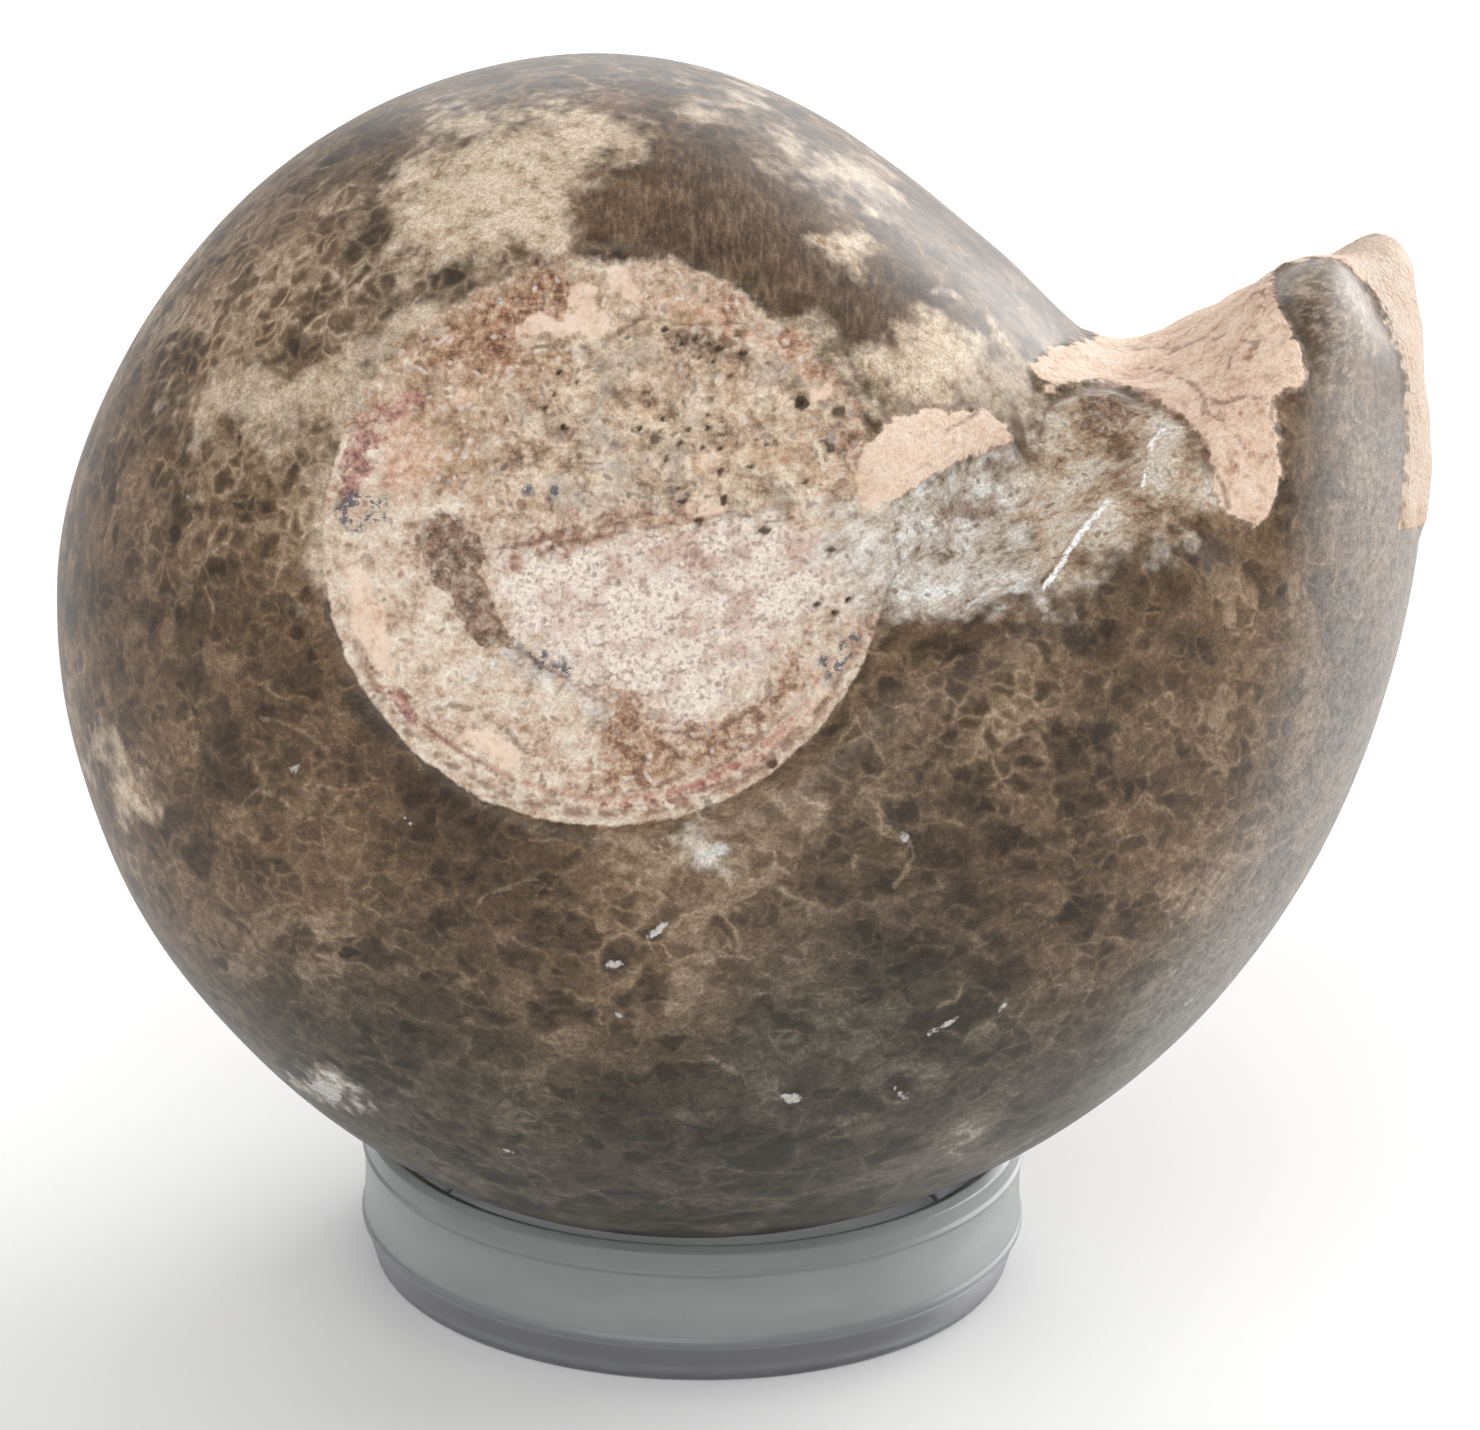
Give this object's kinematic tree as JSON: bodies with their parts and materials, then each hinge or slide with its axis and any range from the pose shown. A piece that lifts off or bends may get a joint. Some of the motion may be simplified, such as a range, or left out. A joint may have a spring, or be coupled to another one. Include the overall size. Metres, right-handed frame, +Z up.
{
  "type": "vascoceras ammonite fossil",
  "caption": "Globose polished ammonite with a broken last whorl and a filled umbilicus, resting on a low clear display ring.",
  "frame": {"origin": "under the middle of the whole object's box, on the surface that the ring stands on", "axes": "+Z up, +X towards the broken end of the last whorl, -Y towards the flank that shows the filled umbilicus"},
  "size_m": [0.1082, 0.0934, 0.1015],
  "materials": {
    "stone": "polished translucent brown calcite with pale peach limestone matrix",
    "clear_plastic": "clear moulded plastic, slightly hazy"
  },
  "bodies": {
    "root": {"ammonite": "stone", "ring_stand": "clear_plastic"}
  },
  "joints": []
}
